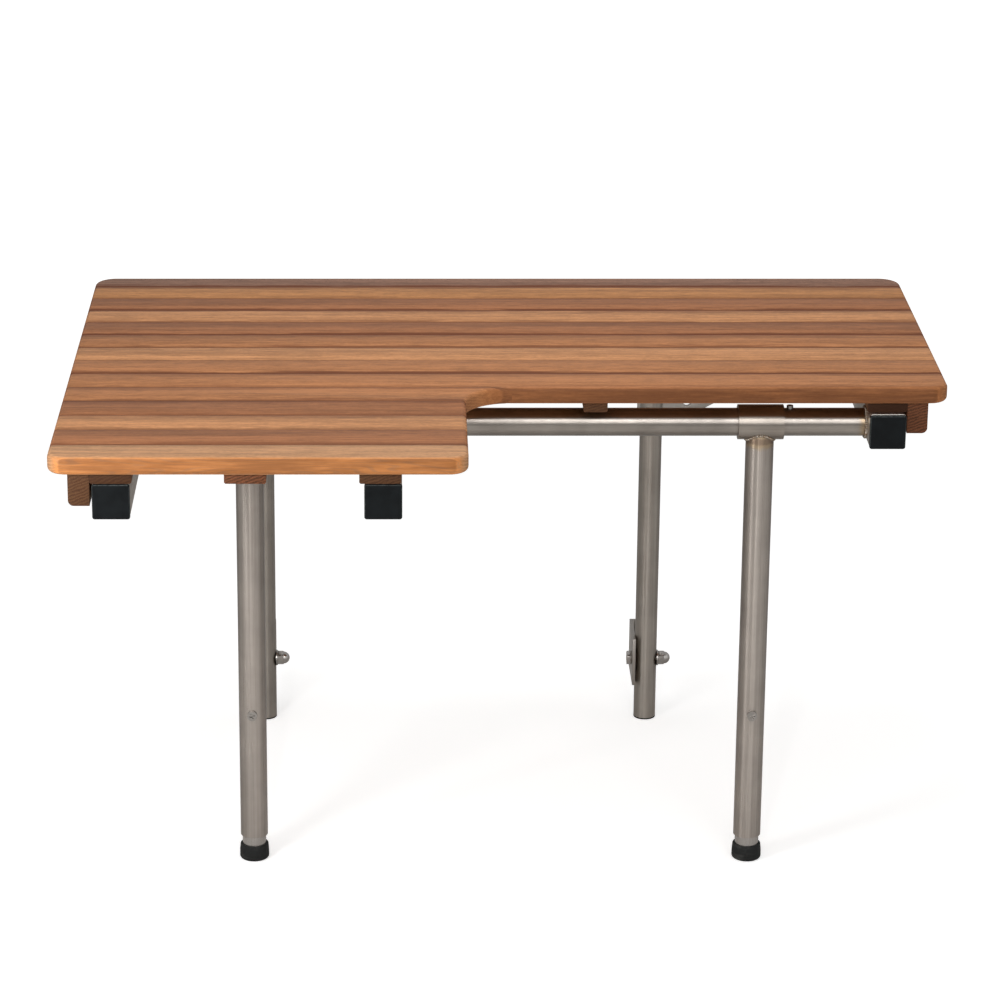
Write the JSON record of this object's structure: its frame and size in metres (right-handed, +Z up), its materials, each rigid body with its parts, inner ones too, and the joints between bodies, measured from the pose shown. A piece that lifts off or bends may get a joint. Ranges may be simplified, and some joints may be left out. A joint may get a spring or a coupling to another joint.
{
  "type": "fold down wall seat",
  "caption": "L-shaped slatted wooden shower seat that folds up against the wall on a steel frame, with swinging adjustable legs.",
  "frame": {"origin": "in the plane of the wall, at the centre of the four wall screw holes", "axes": "+X along the wall to the right of someone facing it, -Y out into the room, +Z up"},
  "size_m": [0.787, 0.626, 0.47],
  "materials": {
    "slat_dark": "oiled, dark red-brown slats",
    "slat_medium": "oiled, mid-brown slats",
    "slat_light": "oiled, light tan slats",
    "slat_golden": "oiled, golden slat",
    "batten_wood": "sawn and sanded battens",
    "arm_steel": "brushed square tube",
    "tube_steel": "fine ring-brushed round tube",
    "plate_steel": "flat ground plate",
    "weld_steel": "rippled weld bead",
    "fastener_steel": "bright fastener",
    "black_plastic": "black moulded plug",
    "tip_rubber": "black rubber"
  },
  "bodies": {
    "wall_frame": {"left_wall_plate": "plate_steel", "left_post": "tube_steel", "left_hinge_sleeve": "tube_steel", "left_post_bracket": "plate_steel", "right_wall_plate": "plate_steel", "right_post": "tube_steel", "right_hinge_sleeve": "tube_steel", "right_post_bracket": "plate_steel", "post_gussets": "plate_steel", "post_plugs": "black_plastic", "post_bolts": "fastener_steel", "post_washers": "fastener_steel", "post_nuts": "fastener_steel"},
    "seat": {"slat_01": "slat_dark", "slat_02": "slat_light", "slat_03": "slat_medium", "slat_04": "slat_light", "slat_05": "slat_dark", "slat_06": "slat_medium", "slat_07": "slat_light", "slat_08": "slat_golden", "slat_09": "slat_medium", "slat_10": "slat_medium", "slat_11": "slat_dark", "slat_12": "slat_light", "slat_13": "slat_medium", "slat_14": "slat_light", "left_batten": "batten_wood", "middle_batten": "batten_wood", "right_batten": "batten_wood", "free_batten": "batten_wood", "narrow_batten": "batten_wood", "left_cleat": "batten_wood", "right_cleat": "batten_wood", "left_arm": "arm_steel", "middle_arm": "arm_steel", "right_arm": "arm_steel", "left_arm_front_plug": "black_plastic", "middle_arm_front_plug": "black_plastic", "right_arm_front_plug": "black_plastic", "arm_rear_plugs": "black_plastic", "front_crossbar": "tube_steel", "rear_crossbar": "tube_steel", "crossbar_welds": "weld_steel", "keeper_screws": "fastener_steel", "arm_screws": "fastener_steel", "batten_screws": "fastener_steel", "cleat_screws": "fastener_steel"},
    "left_leg": {"left_leg_sleeve": "tube_steel", "left_leg_tube": "tube_steel", "left_lock_screw": "fastener_steel"},
    "right_leg": {"right_leg_sleeve": "tube_steel", "right_leg_tube": "tube_steel", "right_lock_screw": "fastener_steel"},
    "left_foot": {"left_foot_tube": "tube_steel", "left_foot_tip": "tip_rubber"},
    "right_foot": {"right_foot_tube": "tube_steel", "right_foot_tip": "tip_rubber"}
  },
  "joints": [
    {"name": "seat_fold", "type": "hinge", "parent": "wall_frame", "child": "seat", "pos_m": [0, -0.046, 0.06563], "axis": [-1, 0, 0], "range_deg": [0, 90]},
    {"name": "left_leg_swing", "type": "hinge", "parent": "seat", "child": "left_leg", "pos_m": [-0.232, -0.395, 0.06563], "axis": [-1, 0, 0], "range_deg": [-85, 0]},
    {"name": "left_foot_slide", "type": "slide", "parent": "left_leg", "child": "left_foot", "axis": [0, 0, -1], "range_m": [-0.008, 0.03]},
    {"name": "right_leg_swing", "type": "hinge", "parent": "seat", "child": "right_leg", "pos_m": [0.229, -0.395, 0.06563], "axis": [-1, 0, 0], "range_deg": [-85, 0]},
    {"name": "right_foot_slide", "type": "slide", "parent": "right_leg", "child": "right_foot", "axis": [0, 0, -1], "range_m": [-0.008, 0.03]}
  ],
  "couplings": [
    {"joint": "left_leg_swing", "follows": "seat_fold", "ratio": -0.94444},
    {"joint": "right_leg_swing", "follows": "seat_fold", "ratio": -0.94444}
  ]
}
